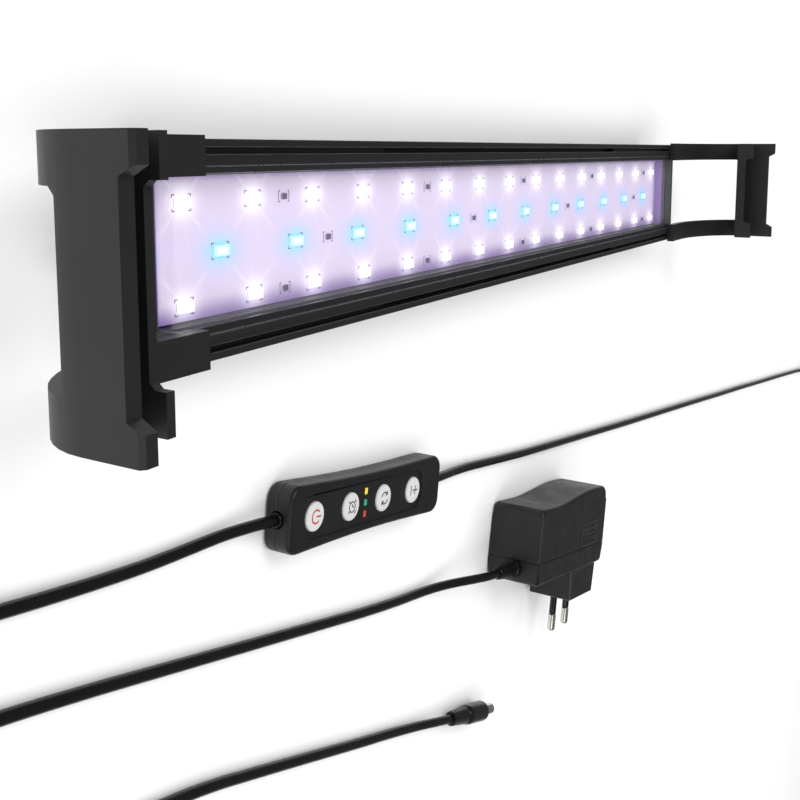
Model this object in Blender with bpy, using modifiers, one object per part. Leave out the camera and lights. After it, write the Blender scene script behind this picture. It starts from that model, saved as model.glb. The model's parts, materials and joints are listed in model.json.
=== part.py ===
"""LED aquarium light with two sliding tank brackets, an in-line controller lead and a plug-in supply.

Metres, +Z up. The light lies on its back with the LEDs facing up, the long side along X.
The origin is on the resting surface, under the middle of the light.
"""

import math

import bmesh
import bpy
from mathutils import Matrix, Vector

MM = 0.001
GAP = 0.3 * MM  # clearance between neighbouring solids

# Light body
BODY_HALF_LENGTH = 224.0 * MM
BODY_HALF_WIDTH = 30.3 * MM
BODY_HEIGHT = 22.3 * MM
BASE_TOP = 9.0 * MM  # upper face of the extrusion's floor
CAP_THICKNESS = 3.0 * MM
CAP_NOTCH_Y = 20.6 * MM  # the cap at the inlet end is cut down between the rails
CAP_NOTCH_Z = 12.6 * MM
INLET_Z = 6.9 * MM
SCREW_Y = 25.2 * MM
SCREW_Z = 9.5 * MM
SCREW_HOLE_RADIUS = 1.6 * MM

# LED board
BOARD_HALF_LENGTH = 223.5 * MM
BOARD_HALF_WIDTH = 20.25 * MM
BOARD_BOTTOM = 10.4 * MM
BOARD_TOP = 12.0 * MM
LED_SIZE = (5.7 * MM, 3.0 * MM, 0.9 * MM)
RESISTOR_SIZE = (3.2 * MM, 1.6 * MM, 0.6 * MM)
STRIP_THICKNESS = 0.3 * MM
ROW_CENTRE_Y = -1.6 * MM
ROW_OFFSET = 14.5 * MM
WHITE_PER_ROW = 15
WHITE_PITCH = 30.5 * MM
BLUE_COUNT = 12
BLUE_PITCH = 36.0 * MM

# Front sheet
LENS_BOTTOM = 16.6 * MM
LENS_TOP = 18.6 * MM
LENS_HALF_WIDTH = 21.7 * MM

# Tank brackets
BRACKET_HALF_WIDTH = 31.2 * MM
ARM_INNER_Y = 20.5 * MM
ARM_START_X = 219.0 * MM
ARM_THICKNESS = 3.6 * MM
BEND_X = 238.0 * MM  # where the arm leaves the rail and turns up
BEND_Z = 57.0 * MM  # where the bend ends, upright
OUTER_PLATE_X = 290.4 * MM
PLATE_THICKNESS = 4.0 * MM
INNER_LIP_X = 270.8 * MM
LIP_THICKNESS = 2.4 * MM
SEAT_BOTTOM = 53.0 * MM
SEAT_TOP = 55.2 * MM
OUTER_EAR_TOP = 73.5 * MM
OUTER_MIDDLE_TOP = 69.6 * MM
LIP_EAR_TOP = 63.0 * MM
LIP_MIDDLE_TOP = 58.4 * MM
WINDOW_TOP = 51.6 * MM
RUNNER_END_X = 120.0 * MM
RUNNER_Y = 27.1 * MM
RUNNER_FOOT = 3.2 * MM
RUNNER_NECK = 1.2 * MM

# Controller: its middle on the surface and its turn about Z
CONTROLLER_AT = (-114.0 * MM, -103.3 * MM)
CONTROLLER_TURN = math.radians(-9.0)
CONTROLLER_SIZE = (104.0 * MM, 23.6 * MM, 11.0 * MM)
CONTROLLER_WAIST = 1.1 * MM  # how far the long sides curve in
CONTROLLER_SPLIT = 4.6 * MM
PANEL_Z = 10.4 * MM
BUTTON_X = [-37.7 * MM, -15.3 * MM, 7.1 * MM, 29.5 * MM]
BUTTON_RADIUS = 5.2 * MM
BUTTON_TOP = 11.2 * MM
INDICATOR_X = -5.0 * MM

# Supply: the corner of its base at the cord end, and its turn about Z
SUPPLY_AT = (5.0 * MM, -181.0 * MM)
SUPPLY_TURN = math.radians(-12.0)
SUPPLY_LENGTH = 92.0 * MM
SUPPLY_THICKNESS = 27.0 * MM
SUPPLY_MIDDLE_Z = SUPPLY_THICKNESS / 2
SEAM_Y = 11.0 * MM
CORD_END_WIDTH = 37.0 * MM
PLUG_END_WIDTH = 42.0 * MM
RELIEF_Y = 7.0 * MM
RELIEF_LENGTH = 18.0 * MM
PIN_X = [60.5 * MM, 79.5 * MM]
PIN_RADIUS = 2.0 * MM

# Cords
CORD_RADIUS = 2.0 * MM
COIL_CENTRE = (-330.0 * MM, -135.0 * MM)
COIL_INNER = 18.3 * MM
COIL_OUTER = 30.7 * MM
COIL_HEIGHT = 8.4 * MM

# Route points of the free cords, on the surface except where they reach a plug or a housing
LAMP_LEAD = [
    (-166.9, -94.9, 5.0), (-177.0, -93.5, 4.4), (-190.0, -92.6, 2.8), (-205.0, -92.0, 2.05),
    (-222.0, -90.8, 2.0), (-240.0, -88.8, 2.0), (-258.0, -86.4, 2.0), (-274.0, -84.0, 2.2),
    (-287.0, -82.2, 3.4), (-298.0, -81.0, 4.7),
]
SUPPLY_LEAD = [
    (-61.1, -111.7, 5.0), (-51.0, -113.3, 4.5), (-38.0, -115.3, 3.0), (-20.0, -118.0, 2.05),
    (10.0, -122.9, 2.0), (50.0, -129.2, 2.0), (100.0, -136.4, 2.0), (156.0, -144.4, 2.0),
    (205.0, -151.4, 2.0), (260.0, -159.0, 2.0), (330.0, -168.6, 2.0), (399.0, -178.2, 2.0),
    (470.0, -188.2, 2.0), (560.0, -200.6, 2.0), (650.0, -213.4, 2.0), (740.0, -226.0, 2.0),
    (820.0, -237.4, 2.0), (870.0, -244.6, 2.1), (895.0, -248.2, 3.0), (913.0, -250.8, 4.4),
    (928.0, -253.0, 5.2),
]
SUPPLY_CORD_OUT = [
    (-12.0, -170.3, 13.5), (-20.0, -168.6, 13.0), (-30.0, -166.7, 10.6), (-42.0, -164.8, 6.6),
    (-54.0, -163.0, 3.6), (-67.0, -160.9, 2.2), (-82.0, -158.0, 2.0), (-105.0, -152.8, 2.0),
    (-130.0, -146.6, 2.0), (-154.0, -140.6, 2.0), (-180.0, -134.1, 2.0), (-209.0, -126.8, 2.0),
    (-240.0, -119.0, 2.0), (-270.0, -112.0, 2.0), (-292.0, -108.0, 2.0), (-313.0, -106.5, 2.0),
]
SUPPLY_CORD_BACK = [
    (-310.0, -161.5, 6.2), (-300.0, -161.5, 5.4), (-288.0, -161.4, 3.4), (-274.0, -161.4, 2.1),
    (-250.0, -162.2, 2.0), (-230.0, -164.6, 2.0), (-212.0, -168.8, 2.0), (-195.0, -174.0, 2.0),
    (-179.0, -179.8, 2.0), (-151.0, -190.2, 2.0), (-113.0, -204.4, 2.0), (-90.0, -212.8, 2.0),
    (-68.0, -220.8, 2.7), (-54.0, -225.9, 3.9), (-41.0, -230.7, 4.8),
]

MATERIALS = {
    "black_anodised": ((0.022, 0.022, 0.024), 0.38, 0.7, 1.0),
    "bracket_black": ((0.020, 0.020, 0.022), 0.45, 0.0, 1.0),
    "board_white": ((0.86, 0.80, 0.92), 0.35, 0.0, 1.0),
    "led_white": ((0.95, 0.95, 1.0), 0.25, 0.0, 1.0),
    "led_blue": ((0.35, 0.65, 1.0), 0.25, 0.0, 1.0),
    "resistor_dark": ((0.05, 0.04, 0.07), 0.4, 0.0, 1.0),
    "pad_grey": ((0.45, 0.46, 0.50), 0.8, 0.0, 1.0),
    "clear_sheet": ((0.92, 0.92, 1.0), 0.05, 0.0, 0.3),
    "screw_steel": ((0.45, 0.45, 0.46), 0.3, 1.0, 1.0),
    "case_black": ((0.018, 0.018, 0.020), 0.45, 0.0, 1.0),
    "button_grey": ((0.80, 0.80, 0.80), 0.4, 0.0, 1.0),
    "board_green": ((0.03, 0.20, 0.08), 0.4, 0.0, 1.0),
    "lamp_yellow": ((0.75, 0.60, 0.08), 0.3, 0.0, 1.0),
    "lamp_green": ((0.05, 0.35, 0.18), 0.3, 0.0, 1.0),
    "lamp_red": ((0.55, 0.06, 0.05), 0.3, 0.0, 1.0),
    "cord_black": ((0.012, 0.012, 0.012), 0.4, 0.0, 1.0),
    "nickel": ((0.75, 0.74, 0.70), 0.2, 1.0, 1.0),
}


def clear_scene():
    for item in list(bpy.data.objects):
        bpy.data.objects.remove(item, do_unlink=True)


def make_collection(name):
    collection = bpy.data.collections.new(name)
    bpy.context.scene.collection.children.link(collection)
    return collection


def make_material(name):
    colour, roughness, metallic, alpha = MATERIALS[name]
    material = bpy.data.materials.new(name)
    material.use_nodes = True
    shader = material.node_tree.nodes["Principled BSDF"]
    shader.inputs["Base Color"].default_value = (*colour, 1.0)
    shader.inputs["Roughness"].default_value = roughness
    shader.inputs["Metallic"].default_value = metallic
    shader.inputs["Alpha"].default_value = alpha
    return material


clear_scene()
PARTS = make_collection("led_aquarium_light")
CUTTERS = make_collection("cutters")
FINISHES = {name: make_material(name) for name in MATERIALS}


def place(item, collection, finish=None):
    """Puts an object in one collection and gives it its material."""
    for old in list(item.users_collection):
        old.objects.unlink(item)
    collection.objects.link(item)
    if finish:
        item.data.materials.clear()
        item.data.materials.append(FINISHES[finish])
    if collection == CUTTERS:
        item.hide_render = True
        item.display_type = "WIRE"
    return item


def from_bmesh(name, shape, finish=None, collection=PARTS, at=Matrix.Identity(4)):
    mesh = bpy.data.meshes.new(name)
    bmesh.ops.recalc_face_normals(shape, faces=shape.faces)
    shape.to_mesh(mesh)
    shape.free()
    item = bpy.data.objects.new(name, mesh)
    item.matrix_world = at
    return place(item, collection, finish)


def add_box(shape, low, high):
    """Adds a box between two corners to a bmesh."""
    low = Vector(low)
    high = Vector(high)
    size = high - low
    matrix = Matrix.Translation((low + high) / 2) @ Matrix.Diagonal((*size, 1.0))
    bmesh.ops.create_cube(shape, size=1.0, matrix=matrix)


def add_cylinder(shape, radius, length, at, axis="Z", sides=16, radius_end=None):
    """Adds a closed cylinder or cone to a bmesh; it starts at a point and runs along an axis."""
    turns = {
        "Z": Matrix.Identity(4),
        "X": Matrix.Rotation(math.pi / 2, 4, "Y"),
        "-X": Matrix.Rotation(-math.pi / 2, 4, "Y"),
        "-Y": Matrix.Rotation(math.pi / 2, 4, "X"),
    }
    matrix = Matrix.Translation(at) @ turns[axis] @ Matrix.Translation((0, 0, length / 2))
    bmesh.ops.create_cone(
        shape, cap_ends=True, segments=sides, radius1=radius,
        radius2=radius if radius_end is None else radius_end, depth=length, matrix=matrix)


def box(name, low, high, finish=None, collection=PARTS, at=Matrix.Identity(4)):
    shape = bmesh.new()
    add_box(shape, low, high)
    return from_bmesh(name, shape, finish, collection, at)


def cylinder(name, radius, length, start, axis="Z", finish=None, collection=PARTS,
             at=Matrix.Identity(4), sides=16, radius_end=None):
    shape = bmesh.new()
    add_cylinder(shape, radius, length, start, axis, sides, radius_end)
    return from_bmesh(name, shape, finish, collection, at)


# A flat outline is drawn in its own XY plane; these turn it into the plane that it stands in.
ACROSS_X = Matrix(((0, 0, 1, 0), (1, 0, 0, 0), (0, 1, 0, 0), (0, 0, 0, 1)))  # outline is (Y, Z)
ACROSS_Y = Matrix(((1, 0, 0, 0), (0, 0, -1, 0), (0, 1, 0, 0), (0, 0, 0, 1)))  # outline is (X, Z)


def slab(name, outlines, low, high, plane=Matrix.Identity(4), finish=None, collection=PARTS,
         at=Matrix.Identity(4)):
    """A closed outline, with holes if more outlines are given, raised from low to high."""
    curve = bpy.data.curves.new(name, "CURVE")
    curve.dimensions = "2D"
    curve.fill_mode = "BOTH"
    curve.extrude = (high - low) / 2
    for outline in outlines:
        spline = curve.splines.new("POLY")
        spline.points.add(len(outline) - 1)
        for point, (u, v) in zip(spline.points, outline):
            point.co = (u, v, 0, 1)
        spline.use_cyclic_u = True
    guide = bpy.data.objects.new(name + "_outline", curve)
    bpy.context.scene.collection.objects.link(guide)
    mesh = bpy.data.meshes.new_from_object(guide.evaluated_get(bpy.context.evaluated_depsgraph_get()))
    bpy.data.objects.remove(guide, do_unlink=True)
    shape = bmesh.new()
    shape.from_mesh(mesh)
    bpy.data.meshes.remove(mesh)
    bmesh.ops.remove_doubles(shape, verts=shape.verts, dist=0.00001)
    bmesh.ops.transform(
        shape, verts=shape.verts, matrix=plane @ Matrix.Translation((0, 0, (low + high) / 2)))
    return from_bmesh(name, shape, finish, collection, at)


def arc(centre, radius, start, end, steps):
    """Points on an arc, angles in degrees; radius may be a pair for an ellipse."""
    rx, ry = radius if isinstance(radius, tuple) else (radius, radius)
    points = []
    for i in range(steps + 1):
        angle = math.radians(start + (end - start) * i / steps)
        points.append((centre[0] + rx * math.cos(angle), centre[1] + ry * math.sin(angle)))
    return points


def rounded(low, high, radius, steps=5):
    """A rectangle with round corners."""
    (x0, y0), (x1, y1) = low, high
    return (arc((x1 - radius, y0 + radius), radius, -90, 0, steps)
            + arc((x1 - radius, y1 - radius), radius, 0, 90, steps)
            + arc((x0 + radius, y1 - radius), radius, 90, 180, steps)
            + arc((x0 + radius, y0 + radius), radius, 180, 270, steps))


def circle(centre, radius, steps=20):
    return arc(centre, radius, 0, 360, steps)[:-1]


def boolean(item, other, operation="DIFFERENCE"):
    modifier = item.modifiers.new(operation.lower(), "BOOLEAN")
    modifier.operation = operation
    modifier.solver = "EXACT"
    modifier.object = other


def turned(name, profile, finish, at, axis="Z", segments=20):
    """A solid of revolution: (radius, height) pairs from the top of the axis to its foot."""
    shape = bmesh.new()
    points = [shape.verts.new((r, 0, z)) for r, z in profile]
    for a, b in zip(points, points[1:]):
        shape.edges.new((a, b))
    mesh = bpy.data.meshes.new(name)
    shape.to_mesh(mesh)
    shape.free()
    item = bpy.data.objects.new(name, mesh)
    turns = {"Z": Matrix.Identity(4), "X": Matrix.Rotation(math.pi / 2, 4, "Y"),
             "-X": Matrix.Rotation(-math.pi / 2, 4, "Y"), "-Y": Matrix.Rotation(math.pi / 2, 4, "X")}
    item.matrix_world = at @ turns[axis]
    place(item, PARTS, finish)
    screw = item.modifiers.new("turn", "SCREW")
    screw.steps = segments
    screw.render_steps = segments
    screw.use_merge_vertices = True
    screw.merge_threshold = 0.00001
    return item


# T-slot of a rail at Y > 0, from its outer lip to its inner lip
T_SLOT = [
    (28.0, 22.3), (28.0, 19.5), (29.0, 19.5), (29.0, 16.0), (25.2, 16.0), (25.2, 19.5), (26.2, 19.5),
    (26.2, 22.3),
]


def housing_outline():
    """Section of the extrusion (Y, Z): ribbed back, rails with T-slots, slots for the front sheet."""
    half = [(30.3, 0.0), (30.3, 22.3)] + T_SLOT + [
        (22.9, 22.3), (22.9, 21.6), (20.9, 20.2), (20.9, 18.9),
        (22.0, 18.9), (22.0, 16.3), (20.6, 16.3), (20.6, 9.0),
    ]
    rib_grooves = [20.0, 12.0, 4.0]
    bottom = []
    for centre in rib_grooves:
        bottom += [(centre + 2.0, 0.0), (centre + 2.0, 4.2), (centre - 2.0, 4.2), (centre - 2.0, 0.0)]
    right = [(y * MM, z * MM) for y, z in half]
    left = [(-y, z) for y, z in reversed(right)]
    under_right = [(y * MM, z * MM) for y, z in bottom]
    under_left = [(-y, z) for y, z in under_right]
    return right + left + under_left + under_right[::-1]


def make_light_body():
    holes = [circle((side * SCREW_Y, SCREW_Z), SCREW_HOLE_RADIUS, 10) for side in (-1, 1)]
    slab("housing", [housing_outline()] + holes, -BODY_HALF_LENGTH, BODY_HALF_LENGTH, ACROSS_X,
         "black_anodised")
    box("thermal_pad", (-BOARD_HALF_LENGTH, -20.0 * MM, BASE_TOP + GAP),
        (BOARD_HALF_LENGTH, 20.0 * MM, BOARD_BOTTOM - GAP), "pad_grey")
    box("led_board", (-BOARD_HALF_LENGTH, -BOARD_HALF_WIDTH, BOARD_BOTTOM),
        (BOARD_HALF_LENGTH, BOARD_HALF_WIDTH, BOARD_TOP), "board_white")
    box("front_sheet", (-BOARD_HALF_LENGTH, -LENS_HALF_WIDTH, LENS_BOTTOM),
        (BOARD_HALF_LENGTH, LENS_HALF_WIDTH, LENS_TOP), "clear_sheet")


def chip_row(name, y, led_x, resistor_x, finish):
    """One row of LEDs and their resistors on a thin contact strip, as one solid."""
    bottom = BOARD_TOP + GAP
    strip_top = bottom + STRIP_THICKNESS
    strip = box(name, (-BOARD_HALF_LENGTH + 3.0 * MM, y - 1.0 * MM, bottom),
                (BOARD_HALF_LENGTH - 3.0 * MM, y + 1.0 * MM, strip_top), finish)
    shape = bmesh.new()
    for positions, size in ((led_x, LED_SIZE), (resistor_x, RESISTOR_SIZE)):
        for x in positions:
            add_box(shape, (x - size[0] / 2, y - size[1] / 2, bottom - 0.05 * MM),
                    (x + size[0] / 2, y + size[1] / 2, bottom + size[2]))
    boolean(strip, from_bmesh(name + "_chips", shape, None, CUTTERS), "UNION")


def make_board_chips():
    white_x = [(i - (WHITE_PER_ROW - 1) / 2) * WHITE_PITCH for i in range(WHITE_PER_ROW)]
    blue_x = [(i - (BLUE_COUNT - 1) / 2) * BLUE_PITCH for i in range(BLUE_COUNT)]
    beside_white = [white_x[i] + WHITE_PITCH / 2 for i in (1, 4, 7, 10, 13)]
    beside_blue = [blue_x[i] + BLUE_PITCH / 2 for i in (1, 4, 7, 10)]
    chip_row("white_led_row_upper", ROW_CENTRE_Y + ROW_OFFSET, white_x, beside_white, "led_white")
    chip_row("white_led_row_lower", ROW_CENTRE_Y - ROW_OFFSET, white_x, beside_white, "led_white")
    chip_row("blue_led_row", ROW_CENTRE_Y, blue_x, beside_blue, "led_blue")


def make_end(side, name):
    """End cap of the extrusion with its two screws."""
    inner = side * (BODY_HALF_LENGTH + GAP)
    outer = side * (BODY_HALF_LENGTH + GAP + CAP_THICKNESS)
    right = [(BODY_HALF_WIDTH, 0.0), (BODY_HALF_WIDTH, BODY_HEIGHT)]
    right += [(y * MM, z * MM) for y, z in T_SLOT]
    if side < 0:
        right += [(CAP_NOTCH_Y, BODY_HEIGHT), (CAP_NOTCH_Y, CAP_NOTCH_Z)]
    outline = right + [(-y, z) for y, z in reversed(right)]
    holes = [circle((y * SCREW_Y, SCREW_Z), SCREW_HOLE_RADIUS + 0.2 * MM, 10) for y in (-1, 1)]
    slab("end_cap_" + name, [outline] + holes, min(inner, outer), max(inner, outer), ACROSS_X,
         "case_black")
    axis = "X" if side > 0 else "-X"
    for edge, y in (("lower", -SCREW_Y), ("upper", SCREW_Y)):
        turned("cap_screw_" + name + "_" + edge, [
            (0.0, 2.0 * MM), (1.8 * MM, 2.0 * MM), (2.8 * MM, 1.3 * MM), (2.8 * MM, GAP),
            (1.2 * MM, GAP), (1.2 * MM, -11.0 * MM), (0.0, -11.0 * MM)],
            "screw_steel", Matrix.Translation((outer, y, SCREW_Z)), axis, 12)


def make_inlet():
    """Power inlet on the end cap: a moulded boss with a jack that the barrel plug enters."""
    outer = -(BODY_HALF_LENGTH + GAP + CAP_THICKNESS)
    boss = slab("inlet_boss", [rounded((-6.5 * MM, 1.4 * MM), (6.5 * MM, 12.4 * MM), 2.5 * MM, 4)],
                outer - GAP - 12.5 * MM, outer - GAP, ACROSS_X, "case_black")
    bore = cylinder("inlet_bore", 4.4 * MM, 14.5 * MM, (outer - 13.5 * MM, 0, INLET_Z), "X",
                    None, CUTTERS, sides=24)
    boolean(boss, bore)
    foot = outer - GAP - 0.4 * MM
    turned("inlet_jack", [
        (0.0, 10.0 * MM), (0.9 * MM, 10.0 * MM), (0.9 * MM, 1.2 * MM), (3.0 * MM, 1.2 * MM),
        (3.0 * MM, 11.6 * MM), (4.0 * MM, 11.6 * MM), (4.0 * MM, 0.0), (0.0, 0.0)],
        "nickel", Matrix.Translation((foot, 0, INLET_Z)), "-X", 20)


def bracket_profile():
    """Side view of a bracket (X, Z): arm on the rail, elliptical bend, outer plate, seat and inner lip."""
    rail_top = BODY_HEIGHT + GAP
    outer_x = OUTER_PLATE_X - BEND_X
    outer_z = BEND_Z - rail_top
    inner_x = outer_x - PLATE_THICKNESS
    inner_z = outer_z - ARM_THICKNESS
    slot_side = OUTER_PLATE_X - PLATE_THICKNESS
    meets = math.degrees(math.asin((BEND_Z - SEAT_BOTTOM) / inner_z))
    outline = [(ARM_START_X, rail_top)]
    outline += arc((BEND_X, BEND_Z), (outer_x, outer_z), -90, 0, 14)
    outline += [
        (OUTER_PLATE_X, OUTER_EAR_TOP - 1.0 * MM), (OUTER_PLATE_X - 1.0 * MM, OUTER_EAR_TOP),
        (slot_side, OUTER_EAR_TOP), (slot_side, SEAT_TOP),
        (INNER_LIP_X + LIP_THICKNESS, SEAT_TOP), (INNER_LIP_X + LIP_THICKNESS, LIP_EAR_TOP),
        (INNER_LIP_X, LIP_EAR_TOP), (INNER_LIP_X, SEAT_BOTTOM),
    ]
    outline += arc((BEND_X, BEND_Z), (inner_x, inner_z), -meets, -90, 12)
    outline += [(ARM_START_X, rail_top + ARM_THICKNESS)]
    return outline


def make_bracket(side, name):
    """One moulding: two arms that slide on the rails, and a foot with a seat for the tank's glass."""
    at = Matrix.Diagonal((side, 1, 1, 1))
    w = BRACKET_HALF_WIDTH
    body = slab(name, [bracket_profile()], -w, w, ACROSS_Y, "bracket_black")
    window = slab(name + "_window", [[
        (-ARM_INNER_Y, 0.0), (ARM_INNER_Y, 0.0), (ARM_INNER_Y, WINDOW_TOP - 2.2 * MM),
        (ARM_INNER_Y - 1.8 * MM, WINDOW_TOP), (-ARM_INNER_Y + 1.8 * MM, WINDOW_TOP),
        (-ARM_INNER_Y, WINDOW_TOP - 2.2 * MM)]], 0.2, 0.3, ACROSS_X, None, CUTTERS)
    outer_notch = slab(name + "_outer_notch", [[
        (-22.6 * MM, OUTER_MIDDLE_TOP), (22.6 * MM, OUTER_MIDDLE_TOP),
        (26.6 * MM, 0.077), (-26.6 * MM, 0.077)]], 0.28, 0.3, ACROSS_X, None, CUTTERS)
    lip_notch = slab(name + "_lip_notch", [[
        (-20.0 * MM, LIP_MIDDLE_TOP), (20.0 * MM, LIP_MIDDLE_TOP), (21.4 * MM, 0.060),
        (21.4 * MM, 0.067), (-21.4 * MM, 0.067), (-21.4 * MM, 0.060)]],
        0.265, 0.28, ACROSS_X, None, CUTTERS)
    foot = RUNNER_FOOT / 2
    neck = RUNNER_NECK / 2
    runners = []
    for edge, label in ((-1, "_lower"), (1, "_upper")):
        centre = edge * RUNNER_Y
        runners.append(box(name + label + "_runner", (RUNNER_END_X, centre - foot, 16.3 * MM),
                           (0.232, centre + foot, 19.2 * MM), None, CUTTERS))
        runners.append(box(name + label + "_neck", (0.2195, centre - neck, 18.0 * MM),
                           (0.2315, centre + neck, 24.0 * MM), None, CUTTERS))
    for cutter in (window, outer_notch, lip_notch):
        boolean(body, cutter)
    for piece in runners:
        boolean(body, piece, "UNION")
    if side < 0:
        mirror_to_left(body, name)
    return body


def mirror_to_left(item, name):
    """Turns the right-hand solid into its mirror image at -X."""
    bpy.context.view_layer.update()
    evaluated = item.evaluated_get(bpy.context.evaluated_depsgraph_get())
    mesh = bpy.data.meshes.new_from_object(evaluated)
    mesh.transform(Matrix.Diagonal((-1, 1, 1, 1)))
    mesh.flip_normals()
    item.modifiers.clear()
    item.data = mesh
    item.data.materials.clear()
    item.data.materials.append(FINISHES["bracket_black"])


def waisted(half_x, half_y, radius, waist):
    """A rectangle with round corners whose long sides curve in towards the middle."""
    straight = half_x - radius
    steps = 8
    half = arc((straight, half_y - radius), radius, 0, 90, 5)
    for i in range(1, steps):
        x = straight * (1 - 2 * i / steps)
        half.append((x, half_y - waist * math.cos(math.pi / 2 * x / straight)))
    half += arc((-straight, half_y - radius), radius, 90, 180, 5)
    return half + [(-x, -y) for x, y in half]


def controller_matrix():
    return Matrix.Translation((*CONTROLLER_AT, 0.0)) @ Matrix.Rotation(CONTROLLER_TURN, 4, "Z")


def make_controller():
    at = controller_matrix()
    half_x = CONTROLLER_SIZE[0] / 2
    half_y = CONTROLLER_SIZE[1] / 2
    wall = 1.8 * MM
    outline = waisted(half_x, half_y, 5.5 * MM, CONTROLLER_WAIST)
    inner_y = half_y - CONTROLLER_WAIST - wall
    cavity = rounded((-half_x + wall, -inner_y), (half_x - wall, inner_y), 3.6 * MM, 4)
    base = slab("controller_base", [outline], 0.0, CONTROLLER_SPLIT, finish="case_black", at=at)
    cover = slab("controller_cover", [outline], CONTROLLER_SPLIT + GAP, CONTROLLER_SIZE[2],
                 finish="case_black", at=at)
    boolean(base, slab("base_cavity", [cavity], 1.8 * MM, 6.0 * MM, collection=CUTTERS, at=at))
    boolean(cover, slab("cover_cavity", [cavity], 4.0 * MM, 8.8 * MM, collection=CUTTERS, at=at))
    panel = rounded((-44.6 * MM, -7.9 * MM), (36.4 * MM, 7.9 * MM), 5.6 * MM, 5)
    boolean(cover, slab("panel_recess", [panel], PANEL_Z, 12.0 * MM, collection=CUTTERS, at=at))
    shape = bmesh.new()
    for x in BUTTON_X:
        add_cylinder(shape, BUTTON_RADIUS + GAP, 6.0 * MM, (x, 0, 7.0 * MM), "Z", 24)
    for y in (-4.2 * MM, 0.0, 4.2 * MM):
        add_box(shape, (INDICATOR_X - 1.2 * MM, y - 1.5 * MM, 7.0 * MM),
                (INDICATOR_X + 1.2 * MM, y + 1.5 * MM, 13.0 * MM))
    boolean(cover, from_bmesh("panel_holes", shape, None, CUTTERS, at))
    shape = bmesh.new()
    for end, axis in ((1, "X"), (-1, "-X")):
        add_cylinder(shape, 3.1 * MM, 8.0 * MM, (end * (half_x - 5.0 * MM), 0, 5.0 * MM), axis, 16)
    cord_holes = from_bmesh("cord_holes", shape, None, CUTTERS, at)
    boolean(base, cord_holes)
    boolean(cover, cord_holes)
    board = box("controller_board", (-44.0 * MM, -8.2 * MM, 2.2 * MM),
                (44.0 * MM, 8.2 * MM, 3.6 * MM), "board_green", at=at)
    shape = bmesh.new()
    for x in BUTTON_X:
        add_box(shape, (x - 3.0 * MM, -3.0 * MM, 3.4 * MM), (x + 3.0 * MM, 3.0 * MM, 5.8 * MM))
    boolean(board, from_bmesh("key_switches", shape, None, CUTTERS, at), "UNION")
    for name, x in zip(("power_button", "timer_button", "mode_button", "level_button"), BUTTON_X):
        turned(name, [
            (0.0, BUTTON_TOP), (4.2 * MM, BUTTON_TOP), (BUTTON_RADIUS, BUTTON_TOP - 0.6 * MM),
            (BUTTON_RADIUS, 8.3 * MM), (6.0 * MM, 8.3 * MM), (6.0 * MM, 7.2 * MM), (0.0, 7.2 * MM)],
            "button_grey", at @ Matrix.Translation((x, 0, 0)), segments=24)
    for name, y in (("yellow", 4.2 * MM), ("green", 0.0), ("red", -4.2 * MM)):
        box("indicator_" + name, (INDICATOR_X - 0.9 * MM, y - 1.2 * MM, 7.4 * MM),
            (INDICATOR_X + 0.9 * MM, y + 1.2 * MM, PANEL_Z), "lamp_" + name, at=at)
    for name, end, axis in (("in", -1, "-X"), ("out", 1, "X")):
        turned("controller_bush_" + name, [
            (0.0, 2.6 * MM), (2.5 * MM, 2.6 * MM), (2.8 * MM, 1.6 * MM), (2.8 * MM, -3.2 * MM),
            (0.0, -3.2 * MM)],
            "case_black", at @ Matrix.Translation((end * (half_x - 1.6 * MM), 0, 5.0 * MM)), axis, 16)


def supply_matrix():
    return Matrix.Translation((*SUPPLY_AT, 0.0)) @ Matrix.Rotation(SUPPLY_TURN, 4, "Z")


def supply_outline(inset):
    """Broad side of the supply: square cord end, swept back edge, wider plug end."""
    low = inset
    left = inset
    right = SUPPLY_LENGTH - inset
    r = 3.0 * MM
    points = arc((left + r, low + r), r, 180, 270, 3)
    points += arc((right - r, low + r), r, 270, 360, 3)
    points += arc((right - 6.0 * MM, PLUG_END_WIDTH - inset - 6.0 * MM), 6.0 * MM, 0, 90, 6)
    start = Vector((right - 16.0 * MM, PLUG_END_WIDTH - inset))
    end = Vector((left + 18.0 * MM, CORD_END_WIDTH - inset))
    for i in range(0, 11):
        t = i / 10
        swing = t * t * (3 - 2 * t)
        points.append((start.x + (end.x - start.x) * t, start.y + (end.y - start.y) * swing))
    points += arc((left + r, CORD_END_WIDTH - inset - r), r, 90, 180, 3)
    return points


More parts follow.
